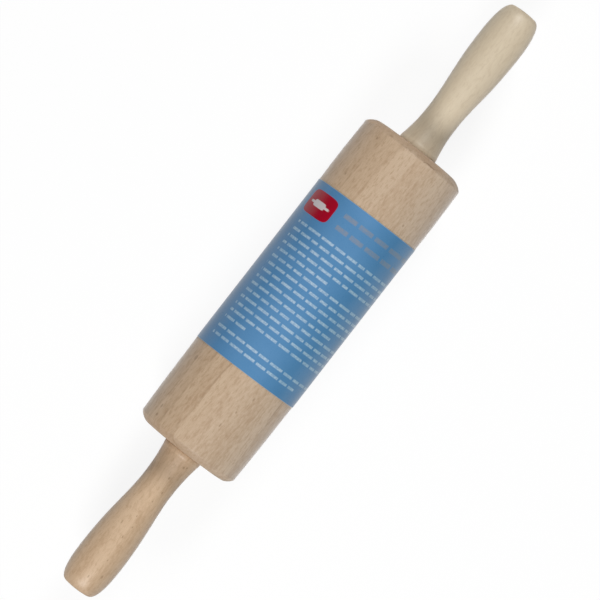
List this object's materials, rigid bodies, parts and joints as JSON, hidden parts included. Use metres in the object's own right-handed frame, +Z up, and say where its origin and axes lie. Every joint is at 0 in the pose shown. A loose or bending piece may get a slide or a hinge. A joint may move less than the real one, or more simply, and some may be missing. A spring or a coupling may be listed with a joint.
{
  "type": "mini rolling pin",
  "caption": "Small turned wooden rolling pin: a barrel with a paper label turns on a dowel axle between waisted handles.",
  "frame": {"origin": "under the middle of the pin, on the surface that it rests on", "axes": "+X along the pin towards the paler handle, +Z up, +Y to the side where the label's lap is"},
  "size_m": [0.23, 0.0378, 0.0378],
  "materials": {
    "barrel_beech": "turned and sanded, uncoated",
    "dowel_beech": "plain dowel, uncoated",
    "left_handle_beech": "turned and sanded, uncoated",
    "right_handle_beech": "turned and sanded, uncoated",
    "label_paper": "satin coated paper"
  },
  "bodies": {
    "roller": {"barrel": "barrel_beech", "paper_label": "label_paper"},
    "spindle": {"axle_dowel": "dowel_beech", "left_handle": "left_handle_beech", "right_handle": "right_handle_beech"}
  },
  "joints": [
    {"name": "spindle_spin", "type": "hinge", "parent": "roller", "child": "spindle", "pos_m": [0, 0, 0.0189], "axis": [1, 0, 0], "continuous": true}
  ]
}
